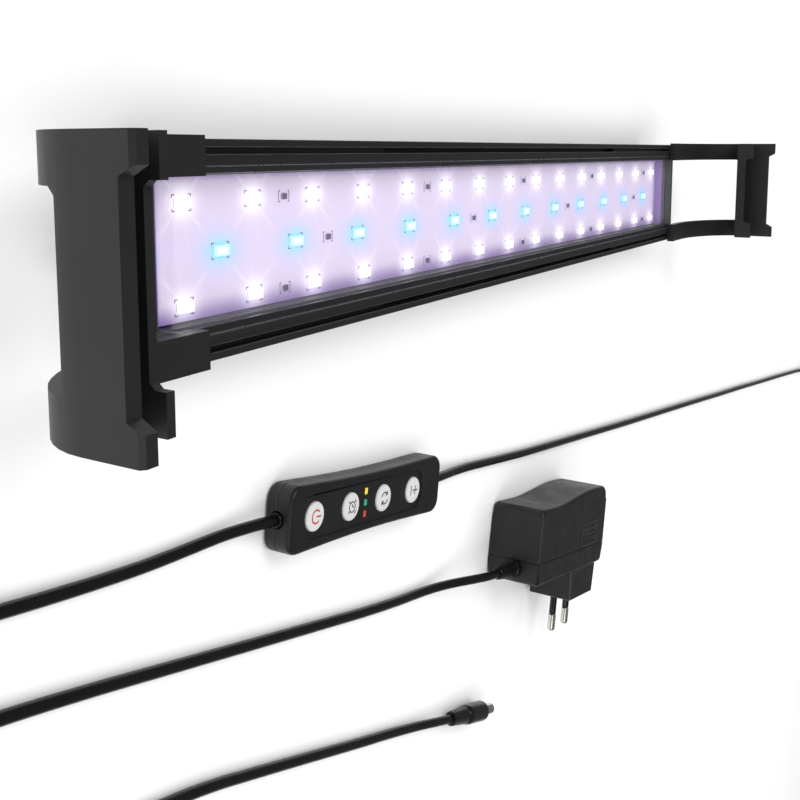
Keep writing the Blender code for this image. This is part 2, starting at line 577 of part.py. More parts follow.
def make_supply():
    at = supply_matrix()
    gap = GAP / 2
    for name, low, high in (("supply_cover", SEAM_Y + gap, 0.1), ("supply_base", -0.1, SEAM_Y - gap)):
        shell = slab(name, [supply_outline(0.0)], 0.0, SUPPLY_THICKNESS, finish="case_black", at=at)
        keep = box(name + "_keep", (-0.05, low, -0.01), (0.14, high, 0.05), None, CUTTERS, at)
        boolean(shell, keep, "INTERSECT")
        hollow = slab(name + "_hollow", [supply_outline(2.0 * MM)], 2.0 * MM,
                      SUPPLY_THICKNESS - 2.0 * MM, collection=CUTTERS, at=at)
        boolean(shell, hollow)
        if name == "supply_cover":
            shape = bmesh.new()
            for i in range(4):
                y = (13.4 + 2.5 * i) * MM
                add_box(shape, (58.0 * MM, y, SUPPLY_THICKNESS - 0.8 * MM),
                        (78.0 * MM, y + 1.3 * MM, SUPPLY_THICKNESS + 1.0 * MM))
            boolean(shell, from_bmesh("vent_lines", shape, None, CUTTERS, at))
        else:
            relief_hole = cylinder("relief_hole", 3.3 * MM, 6.0 * MM,
                                   (-3.0 * MM, RELIEF_Y, SUPPLY_MIDDLE_Z), "X", None, CUTTERS, at, 16)
            boolean(shell, relief_hole)
    box("supply_board", (6.0 * MM, 5.0 * MM, 11.0 * MM), (86.0 * MM, 32.0 * MM, 12.6 * MM),
        "board_green", at=at)
    box("supply_transformer", (34.0 * MM, 14.0 * MM, 13.0 * MM), (56.0 * MM, 31.0 * MM, 23.5 * MM),
        "resistor_dark", at=at)
    block = slab("plug_block", [[
        (53.5 * MM, -16.0 * MM), (86.5 * MM, -16.0 * MM), (88.0 * MM, -GAP), (52.0 * MM, -GAP)]],
        2.0 * MM, SUPPLY_THICKNESS - 2.0 * MM, finish="case_black", at=at)
    shape = bmesh.new()
    for x in PIN_X:
        add_cylinder(shape, PIN_RADIUS + GAP, 6.0 * MM, (x, -11.0 * MM, SUPPLY_MIDDLE_Z), "-Y", 16)
    boolean(block, from_bmesh("pin_sockets", shape, None, CUTTERS, at))
    for name, x in zip(("left", "right"), PIN_X):
        turned("plug_pin_sleeve_" + name, [
            (0.0, 14.4 * MM), (PIN_RADIUS - 0.2 * MM, 14.4 * MM), (PIN_RADIUS - 0.2 * MM, 0.0), (0.0, 0.0)],
            "case_black", at @ Matrix.Translation((x, -11.9 * MM, SUPPLY_MIDDLE_Z)), "-Y", 16)
        turned("plug_pin_" + name, [
            (0.0, 8.7 * MM), (0.9 * MM, 8.7 * MM), (1.7 * MM, 8.2 * MM), (PIN_RADIUS, 7.2 * MM),
            (PIN_RADIUS, 0.0), (0.0, 0.0)],
            "nickel", at @ Matrix.Translation((x, -26.6 * MM, SUPPLY_MIDDLE_Z)), "-Y", 16)
    profile = [(0.0, RELIEF_LENGTH), (2.6 * MM, RELIEF_LENGTH)]
    ribs = 7
    for i in range(ribs):
        far = RELIEF_LENGTH - 0.4 * MM - i * 2.1 * MM
        radius = (2.9 + 0.22 * i) * MM
        profile += [(radius, far), (radius, far - 1.2 * MM), (radius - 0.6 * MM, far - 1.3 * MM),
                    (radius - 0.6 * MM, far - 2.0 * MM)]
    profile += [(4.6 * MM, 2.5 * MM), (4.6 * MM, GAP), (2.8 * MM, GAP), (2.8 * MM, -2.6 * MM),
                (0.0, -2.6 * MM)]
    turned("supply_relief", profile, "cord_black",
           at @ Matrix.Translation((0.0, RELIEF_Y, SUPPLY_MIDDLE_Z)), "-X", 12)


def along(points, spacing):
    """Points a given distance apart on a smooth curve through the route's own points."""
    route = [Vector(p) * MM for p in points]
    padded = [route[0] * 2 - route[1]] + route + [route[-1] * 2 - route[-2]]
    fine = []
    for i in range(1, len(padded) - 2):
        a, b, c, d = padded[i - 1:i + 3]
        for k in range(24):
            t = k / 24
            fine.append(0.5 * (2 * b + (c - a) * t + (2 * a - 5 * b + 4 * c - d) * t * t
                               + (3 * b - a - 3 * c + d) * t ** 3))
    fine.append(route[-1])
    total = sum((q - p).length for p, q in zip(fine, fine[1:]))
    count = max(2, round(total / spacing))
    result = [fine[0]]
    walked = 0.0
    for p, q in zip(fine, fine[1:]):
        step = (q - p).length
        while len(result) < count and walked + step >= len(result) * total / count:
            t = (len(result) * total / count - walked) / step
            result.append(p.lerp(q, t))
        walked += step
    result.append(fine[-1])
    return result


def tube(name, points, finish="cord_black"):
    curve = bpy.data.curves.new(name, "CURVE")
    curve.dimensions = "3D"
    curve.bevel_depth = CORD_RADIUS
    curve.bevel_resolution = 2
    curve.use_fill_caps = True
    path = along(points, 3.0 * 2.0 * CORD_RADIUS)
    spline = curve.splines.new("POLY")
    spline.points.add(len(path) - 1)
    for point, place_at in zip(spline.points, path):
        point.co = (*place_at, 1)
    item = bpy.data.objects.new(name, curve)
    return place(item, PARTS, finish)


def barrel_end(prefix, at, socket):
    """In-line end of a low-voltage lead, along +X from its boot: a plug with a barrel, or a socket."""
    if socket:
        boot = turned(prefix + "_body", [
            (0.0, 38.0 * MM), (4.8 * MM, 38.0 * MM), (5.2 * MM, 37.4 * MM),
            (5.2 * MM, 17.0 * MM), (4.4 * MM, 14.0 * MM), (3.3 * MM, 0.0), (0.0, 0.0)],
            "case_black", at, "X", 20)
        bore = cylinder(prefix + "_bore", 3.0 * MM, 14.0 * MM, (26.0 * MM, 0, 0), "X", None, CUTTERS,
                        at, 16)
        boolean(boot, bore)
        turned(prefix + "_pin", [
            (0.0, 10.0 * MM), (0.9 * MM, 10.0 * MM), (0.9 * MM, 0.0), (0.0, 0.0)],
            "nickel", at @ Matrix.Translation((26.3 * MM, 0, 0)), "X", 10)
        return
    turned(prefix + "_body", [
        (0.0, 34.0 * MM), (4.2 * MM, 34.0 * MM), (4.7 * MM, 33.4 * MM), (4.7 * MM, 15.5 * MM),
        (3.7 * MM, 13.8 * MM), (3.0 * MM, 0.0), (0.0, 0.0)],
        "case_black", at, "X", 20)
    barrel = turned(prefix + "_barrel", [
        (0.0, 10.5 * MM), (2.3 * MM, 10.5 * MM), (2.65 * MM, 10.1 * MM), (2.65 * MM, 0.0), (0.0, 0.0)],
        "nickel", at @ Matrix.Translation((34.3 * MM, 0, 0)), "X", 16)
    boolean(barrel, cylinder(prefix + "_barrel_bore", 1.15 * MM, 9.0 * MM, (37.5 * MM, 0, 0), "X",
                             None, CUTTERS, at, 12))


def make_cords():
    tube("lamp_lead", LAMP_LEAD)
    tube("supply_lead", SUPPLY_LEAD)
    tube("supply_cord_out", SUPPLY_CORD_OUT)
    tube("supply_cord_back", SUPPLY_CORD_BACK)
    turned("supply_cord_coil", [
        (COIL_INNER + 1.5 * MM, COIL_HEIGHT), (COIL_OUTER - 1.5 * MM, COIL_HEIGHT),
        (COIL_OUTER, COIL_HEIGHT - 2.0 * MM), (COIL_OUTER, 0.0), (COIL_INNER, 0.0),
        (COIL_INNER, COIL_HEIGHT - 2.0 * MM), (COIL_INNER + 1.5 * MM, COIL_HEIGHT)],
        "cord_black", Matrix.Translation((*COIL_CENTRE, 0.0)), segments=40)
    for name, where, turn, socket in (
            ("lamp_plug", (-298.3, -80.95, 4.8), 173.5, False),
            ("lead_socket", (928.3, -253.05, 5.25), -8.4, True),
            ("supply_plug", (-40.7, -230.8, 4.8), -20.9, False)):
        at = Matrix.Translation(Vector(where) * MM) @ Matrix.Rotation(math.radians(turn), 4, "Z")
        barrel_end(name, at, socket)


make_light_body()
make_board_chips()
make_end(-1, "left")
make_end(1, "right")
make_inlet()
make_bracket(-1, "left_bracket")
make_bracket(1, "right_bracket")
make_controller()
make_supply()
make_cords()
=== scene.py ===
"""Looks of the LED aquarium light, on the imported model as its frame."""

import json
import math

import bmesh
import bpy
from mathutils import Matrix, Vector

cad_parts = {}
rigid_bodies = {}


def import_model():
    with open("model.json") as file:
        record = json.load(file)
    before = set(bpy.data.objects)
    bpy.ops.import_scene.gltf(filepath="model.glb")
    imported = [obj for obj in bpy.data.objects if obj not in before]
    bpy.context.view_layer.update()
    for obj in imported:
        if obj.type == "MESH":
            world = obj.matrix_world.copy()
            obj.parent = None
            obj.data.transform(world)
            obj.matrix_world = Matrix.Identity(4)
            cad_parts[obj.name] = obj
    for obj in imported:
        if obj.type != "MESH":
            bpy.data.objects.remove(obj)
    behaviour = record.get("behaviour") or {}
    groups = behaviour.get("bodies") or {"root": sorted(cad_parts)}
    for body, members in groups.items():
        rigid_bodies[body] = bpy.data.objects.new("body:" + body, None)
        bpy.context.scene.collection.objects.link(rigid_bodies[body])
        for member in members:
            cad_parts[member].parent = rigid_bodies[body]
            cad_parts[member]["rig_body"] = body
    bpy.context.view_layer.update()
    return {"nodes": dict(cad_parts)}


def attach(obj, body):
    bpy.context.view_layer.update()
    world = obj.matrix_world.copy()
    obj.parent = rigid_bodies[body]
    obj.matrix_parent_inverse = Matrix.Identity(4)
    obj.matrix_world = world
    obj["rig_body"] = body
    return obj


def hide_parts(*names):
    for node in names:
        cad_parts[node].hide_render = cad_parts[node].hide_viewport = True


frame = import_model()
NODES = frame["nodes"]
MM = 0.001

# Places that the CAD design uses too. Matrices and the cord's diameter are in metres, the rest in mm.
CONTROLLER = Matrix.Translation((-0.114, -0.1033, 0)) @ Matrix.Rotation(math.radians(-9.0), 4, "Z")
SUPPLY = Matrix.Translation((0.005, -0.181, 0)) @ Matrix.Rotation(math.radians(-12.0), 4, "Z")
BUTTONS = {"power": -37.7, "timer": -15.3, "mode": 7.1, "level": 29.5}  # X from the controller's middle
BUTTON_TOP = 11.2
SUPPLY_TOP = 27.0
SUPPLY_MIDDLE = 13.5
PINS = {"left": 60.5, "right": 79.5}  # X from the corner of the supply
PIN_SLEEVE_Y = -11.9
PIN_TIP_Y = -26.6
RELIEF_Y = 7.0
ROW_Y = -1.6
ROW_OFFSET = 14.5
WHITE_PITCH = 30.5
BLUE_PITCH = 36.0
WHITE_COUNT = 15
BLUE_COUNT = 12
BOARD_TOP = 12.0
CORD_DIAMETER = 0.004
COIL_CENTRE = (-330.0, -135.0)


# ---------------------------------------------------------------- camera

def make_camera():
    """Low and close to the inlet end, rolled so that the lamp's LED face stands upright in the view."""
    across = Vector((0.5146, 0.0, 0.8574)).normalized()
    forward = Vector((0.8505, -0.1268, -0.5105)).normalized()
    up = across.cross(forward).normalized()
    across = forward.cross(up).normalized()
    data = bpy.data.cameras.new("camera")
    data.sensor_width = 36.0
    data.lens = 44.82
    data.shift_x = -0.0016
    data.shift_y = -0.154
    data.clip_start = 0.01
    data.clip_end = 20.0
    camera = bpy.data.objects.new("camera", data)
    turn = Matrix((across, up, -forward)).transposed().to_4x4()
    camera.matrix_world = Matrix.Translation((-0.4174, 0.0274, 0.2049)) @ turn
    bpy.context.scene.collection.objects.link(camera)
    bpy.context.scene.camera = camera


# ---------------------------------------------------------------- materials

def principled(name, colour, second, patches, roughness, rough_span, rough_scale, metallic=0.0,
               bumps=(), stretch=(1, 1, 1), **sockets):
    """A Principled material: two colours mixed in patches, varied roughness and layers of bump.

    patches and rough_scale are noise scales; each bump is a noise scale, a strength and a distance in
    metres. stretch scales the noises along X, Y and Z. Other keywords are shader sockets, with _ for
    a space.
    """
    material = bpy.data.materials.new(name)
    material.use_nodes = True
    tree = material.node_tree
    shader = tree.nodes["Principled BSDF"]
    new = tree.nodes.new
    link = tree.links.new
    coordinates = new("ShaderNodeTexCoord")
    mapping = new("ShaderNodeMapping")
    mapping.inputs["Scale"].default_value = stretch
    link(coordinates.outputs["Object"], mapping.inputs["Vector"])

    def noise(scale, detail=3.0):
        node = new("ShaderNodeTexNoise")
        node.inputs["Scale"].default_value = scale
        node.inputs["Detail"].default_value = detail
        link(mapping.outputs["Vector"], node.inputs["Vector"])
        return node.outputs["Fac"]

    def ranged(value, low, high):
        """Spreads the middle of a noise, where most of it lies, over a range."""
        node = new("ShaderNodeMapRange")
        node.inputs["From Min"].default_value = 0.3
        node.inputs["From Max"].default_value = 0.7
        node.inputs["To Min"].default_value = low
        node.inputs["To Max"].default_value = high
        link(value, node.inputs["Value"])
        return node.outputs["Result"]

    tone = new("ShaderNodeMix")
    tone.data_type = "RGBA"
    link(ranged(noise(patches), 0.0, 1.0), tone.inputs["Factor"])
    tone.inputs["A"].default_value = (*colour, 1.0)
    tone.inputs["B"].default_value = (*second, 1.0)
    link(tone.outputs["Result"], shader.inputs["Base Color"])
    link(ranged(noise(rough_scale, 5.0), roughness - rough_span, roughness + rough_span),
         shader.inputs["Roughness"])
    shader.inputs["Metallic"].default_value = metallic
    normal = None
    for scale, strength, distance in bumps:
        bump = new("ShaderNodeBump")
        bump.inputs["Strength"].default_value = strength
        bump.inputs["Distance"].default_value = distance
        link(noise(scale, 2.0), bump.inputs["Height"])
        if normal:
            link(normal, bump.inputs["Normal"])
        normal = bump.outputs["Normal"]
    if normal:
        link(normal, shader.inputs["Normal"])
    for socket, value in sockets.items():
        shader.inputs[socket.replace("_", " ")].default_value = value
    return material


ANODISED = principled(
    "anodised", (0.009, 0.009, 0.010), (0.012, 0.012, 0.013), patches=3.0, roughness=0.46,
    rough_span=0.02, rough_scale=4.0, bumps=[(14.0, 0.05, 0.00004), (60.0, 0.04, 0.00002)],
    stretch=(1, 90, 90), Specular_IOR_Level=0.32)
BRACKET = principled(
    "bracket_plastic", (0.0105, 0.0105, 0.011), (0.0115, 0.0115, 0.012), patches=40.0, roughness=0.47,
    rough_span=0.02, rough_scale=90.0, bumps=[(2600.0, 0.13, 0.00003), (300.0, 0.03, 0.00004)],
    Specular_IOR_Level=0.38)
CASE = principled(
    "case_plastic", (0.0055, 0.0055, 0.006), (0.008, 0.008, 0.0085), patches=60.0, roughness=0.42,
    rough_span=0.05, rough_scale=150.0, bumps=[(1500.0, 0.5, 0.00008), (600.0, 0.12, 0.00006)],
    Specular_IOR_Level=0.4)
SMOOTH_BLACK = principled(
    "smooth_black", (0.004, 0.004, 0.0045), (0.006, 0.006, 0.0065), patches=80.0, roughness=0.26,
    rough_span=0.05, rough_scale=200.0, bumps=[(900.0, 0.05, 0.00004)], Specular_IOR_Level=0.35)
CORD = principled(
    "cord_pvc", (0.003, 0.003, 0.0035), (0.0045, 0.0045, 0.005), patches=120.0, roughness=0.30,
    rough_span=0.07, rough_scale=300.0, bumps=[(420.0, 0.12, 0.00008), (2200.0, 0.06, 0.00003)],
    Specular_IOR_Level=0.3)
# Painted highlights: lighter materials for the narrow rounded edges of a material, which look lighter
EDGES = {
    "anodised": principled(
        "anodised_edge_highlight", (0.030, 0.030, 0.031), (0.055, 0.055, 0.056), patches=200.0, roughness=0.30,
        rough_span=0.05, rough_scale=300.0),
    "bracket_plastic": principled(
        "bracket_edge_highlight", (0.022, 0.022, 0.022), (0.040, 0.040, 0.041), patches=150.0, roughness=0.36,
        rough_span=0.05, rough_scale=300.0),
    "case_plastic": principled(
        "case_edge_highlight", (0.022, 0.022, 0.022), (0.050, 0.050, 0.050), patches=220.0, roughness=0.34,
        rough_span=0.05, rough_scale=300.0),
}
WHITE_BUTTON = principled(
    "button_white", (0.62, 0.62, 0.615), (0.57, 0.57, 0.565), patches=300.0, roughness=0.30,
    rough_span=0.05, rough_scale=400.0, bumps=[(1500.0, 0.05, 0.00003)], Coat_Weight=0.2)
NICKEL = principled(
    "nickel", (0.66, 0.64, 0.60), (0.58, 0.56, 0.51), patches=300.0, roughness=0.22, rough_span=0.06,
    rough_scale=500.0, metallic=1.0, bumps=[(1800.0, 0.06, 0.00002)])
STEEL = principled(
    "screw_steel", (0.36, 0.36, 0.37), (0.28, 0.28, 0.29), patches=500.0, roughness=0.30,
    rough_span=0.07, rough_scale=700.0, metallic=1.0, bumps=[(2500.0, 0.08, 0.00002)])
TIN = principled(
    "solder_tin", (0.74, 0.73, 0.76), (0.62, 0.60, 0.66), patches=900.0, roughness=0.35,
    rough_span=0.08, rough_scale=900.0, metallic=0.8, bumps=[(2600.0, 0.2, 0.00004)])
PAD = principled(
    "thermal_pad", (0.42, 0.43, 0.47), (0.36, 0.37, 0.41), patches=90.0, roughness=0.85,
    rough_span=0.04, rough_scale=100.0, bumps=[(900.0, 0.3, 0.0001)])
GREEN_BOARD = principled(
    "green_board", (0.02, 0.14, 0.05), (0.03, 0.19, 0.07), patches=160.0, roughness=0.35,
    rough_span=0.05, rough_scale=200.0, bumps=[(600.0, 0.1, 0.00005)])
WINDING = principled(
    "winding", (0.35, 0.22, 0.04), (0.42, 0.28, 0.06), patches=200.0, roughness=0.4, rough_span=0.05,
    rough_scale=200.0, bumps=[(900.0, 0.2, 0.0001)])
INK = principled(
    "board_ink", (0.035, 0.010, 0.14), (0.055, 0.020, 0.19), patches=700.0, roughness=0.6,
    rough_span=0.05, rough_scale=500.0, bumps=[(1800.0, 0.1, 0.00002)], Specular_IOR_Level=0.15)
CERAMIC = principled(
    "resistor_body", (0.035, 0.012, 0.11), (0.050, 0.020, 0.14), patches=900.0, roughness=0.55,
    rough_span=0.05, rough_scale=500.0, bumps=[(1800.0, 0.1, 0.00002)], Specular_IOR_Level=0.1)
# Painted glow: the LED frames emit light though only their windows are lamps; the blue row's frames are
# painted blue with that glow
LED_FRAME = principled(
    "led_frame", (0.90, 0.89, 0.92), (0.84, 0.82, 0.88), patches=900.0, roughness=0.35, rough_span=0.05,
    rough_scale=500.0, bumps=[(1800.0, 0.1, 0.00002)], Emission_Color=(1.0, 0.98, 1.0, 1),
    Emission_Strength=0.8)
LED_FRAME_BLUE = principled(
    "led_frame_blue", (0.34, 0.72, 0.92), (0.30, 0.66, 0.88), patches=900.0, roughness=0.35,
    rough_span=0.05, rough_scale=500.0, bumps=[(1800.0, 0.1, 0.00002)],
    Emission_Color=(0.42, 0.80, 1.0, 1), Emission_Strength=0.8)
LED_WHITE = principled(
    "led_white_light", (1.0, 0.98, 0.92), (1.0, 0.95, 0.85), patches=900.0, roughness=0.3,
    rough_span=0.05, rough_scale=500.0, Emission_Color=(1.0, 0.985, 0.96, 1), Emission_Strength=6.0)
LED_BLUE = principled(
    "led_blue_light", (0.25, 0.75, 0.9), (0.2, 0.7, 0.9), patches=900.0, roughness=0.3, rough_span=0.05,
    rough_scale=500.0, Emission_Color=(0.50, 0.92, 1.0, 1), Emission_Strength=1.5)
RED_INK = principled(
    "red_ink", (0.50, 0.015, 0.02), (0.42, 0.012, 0.018), patches=900.0, roughness=0.35,
    rough_span=0.05, rough_scale=500.0)
BLACK_INK = principled(
    "black_ink", (0.02, 0.02, 0.02), (0.035, 0.035, 0.035), patches=900.0, roughness=0.35,
    rough_span=0.05, rough_scale=500.0)
TIE = principled(
    "tie_plastic", (0.02, 0.02, 0.02), (0.03, 0.03, 0.03), patches=500.0, roughness=0.5,
    rough_span=0.05, rough_scale=500.0, bumps=[(900.0, 0.2, 0.00005)])
# Acrylic with a faint violet tint: almost transparent, with gloss
CLEAR_SHEET = principled(
    "clear_sheet", (0.86, 0.82, 0.95), (0.84, 0.80, 0.94), patches=40.0, roughness=0.06,
    rough_span=0.02, rough_scale=60.0, bumps=[(25.0, 0.02, 0.0001)], Alpha=0.07)
LAMPS = {
    "yellow": principled(
        "lamp_yellow", (0.70, 0.55, 0.06), (0.60, 0.46, 0.05), patches=900.0, roughness=0.25,
        rough_span=0.05, rough_scale=500.0, Emission_Color=(0.8, 0.6, 0.05, 1), Emission_Strength=0.25),
    "green": principled(
        "lamp_green", (0.03, 0.30, 0.16), (0.02, 0.24, 0.12), patches=900.0, roughness=0.25,
        rough_span=0.05, rough_scale=500.0, Emission_Color=(0.05, 0.5, 0.25, 1), Emission_Strength=0.15),
    "red": principled(
        "lamp_red", (0.42, 0.05, 0.04), (0.34, 0.04, 0.03), patches=900.0, roughness=0.25,
        rough_span=0.05, rough_scale=500.0, Emission_Color=(0.7, 0.08, 0.05, 1), Emission_Strength=0.15),
}


class Nodes:
    """Short ways to add maths and colour mixing to a material."""

    def __init__(self, material):
        self.tree = material.node_tree
        self.shader = self.tree.nodes["Principled BSDF"]
        place = self.tree.nodes.new("ShaderNodeSeparateXYZ")
        coordinates = self.tree.nodes.new("ShaderNodeTexCoord")
        self.tree.links.new(coordinates.outputs["Object"], place.inputs["Vector"])
        self.x, self.y, self.z = place.outputs

    def fill(self, sockets, values):
        """Links or sets each socket: a value is a colour, a number or another node's output."""
        for socket, value in zip(sockets, values):
            if isinstance(value, tuple):
                socket.default_value = (*value, 1.0)
            elif isinstance(value, (int, float)):
                socket.default_value = value
            else:
                self.tree.links.new(value, socket)

    def maths(self, operation, *values):
        node = self.tree.nodes.new("ShaderNodeMath")
        node.operation = operation
        self.fill(node.inputs, values)
        return node.outputs["Value"]

    def blended(self, factor, a, b):
        node = self.tree.nodes.new("ShaderNodeMix")
        node.data_type = "RGBA"
        self.fill([node.inputs[name] for name in ("Factor", "A", "B")], (factor, a, b))
        return node.outputs["Result"]

    def ramp(self, value, start, end, low=0.0, high=1.0):
        """Smooth step of a value between two limits."""
        node = self.tree.nodes.new("ShaderNodeMapRange")
        node.interpolation_type = "SMOOTHSTEP"
        self.fill([node.inputs[name] for name in ("Value", "From Min", "From Max", "To Min", "To Max")],
                  (value, start, end, low, high))
        return node.outputs["Result"]

    def base(self):
        """The output that now gives the base colour."""
        return self.shader.inputs["Base Color"].links[0].from_socket

    def connect(self, socket, value):
        self.tree.links.new(value, self.shader.inputs[socket])


def cap_material():
    """Moulded end cap; painted light on its face over the board: the violet light below the front sheet,
    and a lighter lit tone above the sheet.
    """
    material = principled(
        "cap_plastic", (0.020, 0.0225, 0.020), (0.026, 0.030, 0.026), patches=40.0, roughness=0.42,
        rough_span=0.05, rough_scale=90.0, bumps=[(2400.0, 0.12, 0.00003)], Specular_IOR_Level=0.45)
    between_rails = 20.6 * MM
    inner_face = (224.45 * MM, 224.55 * MM)
    below_sheet = (15.8 * MM, 16.8 * MM)
    above_sheet = (18.4 * MM, 19.0 * MM)
    nodes = Nodes(material)
    inside = nodes.maths("LESS_THAN", nodes.maths("ABSOLUTE", nodes.y), between_rails)
    inside = nodes.maths("MULTIPLY", inside, nodes.ramp(
        nodes.maths("ABSOLUTE", nodes.x), *inner_face, 1.0, 0.0))
    under = nodes.maths("MULTIPLY", inside, nodes.ramp(nodes.z, *below_sheet, 1.0, 0.0))
    over = nodes.maths("MULTIPLY", inside, nodes.ramp(nodes.z, *above_sheet))
    # Painted light: a lighter tone above the sheet, and the board's violet glow below it
    tone = nodes.blended(over, nodes.base(), (0.075, 0.088, 0.070))
    nodes.connect("Base Color", nodes.blended(under, tone, (0.30, 0.17, 0.52)))
    return material


def board_material():
    """White solder mask with painted light from its own LEDs: a painted pool of light and a faint
    painted star at each, painted violet shade at its rims, and a faint painted glow.
    """
    material = principled(
        "board_mask", (0.70, 0.615, 0.79), (0.68, 0.60, 0.78), patches=35.0, roughness=0.34,
        rough_span=0.04, rough_scale=160.0, bumps=[(500.0, 0.05, 0.00004)], Specular_IOR_Level=0.3)
    nodes = Nodes(material)
    maths = nodes.maths

    def from_led(row, pitch, count):
        """Distance along and across from the nearest LED of a row."""
        start = 0.0 if count % 2 else pitch / 2
        along = maths("WRAP", maths("ADD", nodes.x, start * MM), pitch / 2 * MM, -pitch / 2 * MM)
        return along, maths("SUBTRACT", nodes.y, row * MM)

    def pool(along, across, spread_x, spread_y):
        """Bell-shaped falloff from 1, with its spreads in mm."""
        square = maths("ADD", maths("POWER", maths("DIVIDE", along, spread_x * MM), 2.0),
                       maths("POWER", maths("DIVIDE", across, spread_y * MM), 2.0))
        return maths("EXPONENT", maths("MULTIPLY", square, -1.0))

    def star(along, across, reach):
        """Painted star of light: four strong and six faint narrow rays out from an LED."""
        angle = maths("ARCTAN2", across, along)

        def rays(waves, turn, sharpness):
            wave = maths("COSINE", maths("ADD", maths("MULTIPLY", angle, waves), turn))
            return maths("POWER", maths("ABSOLUTE", wave), sharpness)

        both = maths("MAXIMUM", rays(2.0, 1.57, 70.0), maths("MULTIPLY", rays(3.0, 1.1, 90.0), 0.55))
        return maths("MULTIPLY", maths("MULTIPLY", both, 0.55), pool(along, across, reach, reach))

    # Painted light: a pool of light and star rays round each white LED, added to the board's glow
    white = None
    for row in (ROW_Y + ROW_OFFSET, ROW_Y - ROW_OFFSET):
        along, across = from_led(row, WHITE_PITCH, WHITE_COUNT)
        light = maths("MAXIMUM", pool(along, across, 5.3, 4.4), star(along, across, 8.5))
        white = light if white is None else maths("MAXIMUM", white, light)
    # Painted blue light: a small and a wide pool round each blue LED, in colour and glow
    along, across = from_led(ROW_Y, BLUE_PITCH, BLUE_COUNT)
    blue = pool(along, across, 6.4, 4.2)
    blue_wide = pool(along, across, 10.0, 7.0)
    # Painted shade: darker violet towards the board's rims, under the rails and end caps
    low_rim = nodes.ramp(nodes.y, -13.5 * MM, -20.5 * MM)
    high_rim = nodes.ramp(nodes.y, 18.0 * MM, 20.6 * MM, 0.0, 0.75)
    far_rim = nodes.ramp(nodes.x, 217.5 * MM, 223.8 * MM)
    near_rim = nodes.ramp(nodes.x, -221.5 * MM, -224.0 * MM, 0.0, 0.35)
    shade = maths("MAXIMUM", maths("MAXIMUM", low_rim, high_rim), maths("MAXIMUM", far_rim, near_rim))
    tone = nodes.blended(maths("MULTIPLY", shade, 0.85), nodes.base(), (0.26, 0.14, 0.50))
    tone = nodes.blended(maths("MULTIPLY", blue_wide, 0.35), tone, (0.50, 0.45, 0.92))
    nodes.connect("Base Color", nodes.blended(maths("MULTIPLY", blue, 0.9), tone, (0.12, 0.52, 0.88)))
    # Painted glow: the board emits a little everywhere, less in the painted shade and more in the
    # painted pools of light
    glow = nodes.blended(shade, (0.03, 0.025, 0.035), (0.01, 0.007, 0.02))
    glow = nodes.blended(white, glow, (0.60, 0.60, 0.60))
    nodes.connect("Emission Color", nodes.blended(blue, glow, (0.06, 0.26, 0.40)))
    nodes.shader.inputs["Emission Strength"].default_value = 1.0
    return material


CAP = cap_material()


# ---------------------------------------------------------------- building pieces

SHARP_ANGLE = 32.0  # degrees between faces, over which an edge is rounded
CLOSE = 0.2 * MM  # how near a plane a point counts as on it


def add(name, mesh, material, body="light", replaces=()):
    """Links a mesh as a piece that rides on a body."""
    item = bpy.data.objects.new(name, mesh)
    bpy.context.scene.collection.objects.link(item)
    for one in material if isinstance(material, (list, tuple)) else [material]:
        item.data.materials.append(one)
    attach(item, body)
    if replaces:
        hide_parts(*replaces)
    return item


def soften(item, width, segments=2, edge=None):
    """Small rounded edges, painted lighter as a highlight if given a material, with normals that keep
    flats flat.
    """
    for polygon in item.data.polygons:
        polygon.use_smooth = True
    bevel = item.modifiers.new("edges", "BEVEL")
    bevel.width = width
    bevel.segments = segments
    bevel.limit_method = "ANGLE"
    bevel.angle_limit = math.radians(SHARP_ANGLE)
    # Painted highlight: the bevel faces take the lighter edge material
    if edge:
        bevel.material = len(item.data.materials)
        item.data.materials.append(edge)
    normals = item.modifiers.new("normals", "WEIGHTED_NORMAL")
    normals.keep_sharp = True
    return item


def refined(node, material, width, segments=2, wide=None):
    """A copy of a CAD node with rounded edges; it replaces the node.

    wide is a test that picks edges by where they are, with the width and segments of their rounding.
    """
    source = NODES[node]
    shape = bmesh.new()
    shape.from_mesh(source.data)
    bmesh.ops.remove_doubles(shape, verts=shape.verts, dist=0.000002)
    bmesh.ops.dissolve_limit(shape, angle_limit=math.radians(0.6), verts=shape.verts,
                             edges=shape.edges)
    if wide:
        chosen, wide_width, wide_segments = wide
        edges = [edge for edge in shape.edges if chosen((edge.verts[0].co + edge.verts[1].co) / 2)
                 and chosen(edge.verts[0].co) and chosen(edge.verts[1].co)]
        bmesh.ops.bevel(shape, geom=edges, offset=wide_width, segments=wide_segments,
                        affect="EDGES", profile=0.5, clamp_overlap=True)
    mesh = bpy.data.meshes.new(node + "_finished")
    shape.to_mesh(mesh)
    shape.free()
    item = add(node + "_finished", mesh, material, source["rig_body"], [node])
    return soften(item, width, segments, edge=EDGES.get(material.name))


def ring_points(radius, start, end, steps=20, centre=(0, 0)):
    """Points along an arc, from a start to an end in degrees."""
    points = []
    for i in range(steps + 1):
        angle = math.radians(start + (end - start) * i / steps)
        points.append((centre[0] + radius * math.cos(angle), centre[1] + radius * math.sin(angle)))
    return points


def block(shape, low, high, finish=0):
    """Adds a box, in mm, to a bmesh, with a material index."""
    low = Vector(low) * MM
    high = Vector(high) * MM
    matrix = Matrix.Translation((low + high) / 2) @ Matrix.Diagonal((*(high - low), 1.0))
    made = bmesh.ops.create_cube(shape, size=1.0, matrix=matrix)
    for face in {face for vert in made["verts"] for face in vert.link_faces}:
        face.material_index = finish


def piece(name, shape, material, body="light", replaces=(), at=Matrix.Identity(4)):
    """Turns a bmesh into a piece, placed by a matrix."""
    bmesh.ops.transform(shape, verts=shape.verts, matrix=at)
    mesh = bpy.data.meshes.new(name)
    shape.to_mesh(mesh)
    shape.free()
    return add(name, mesh, material, body, replaces)


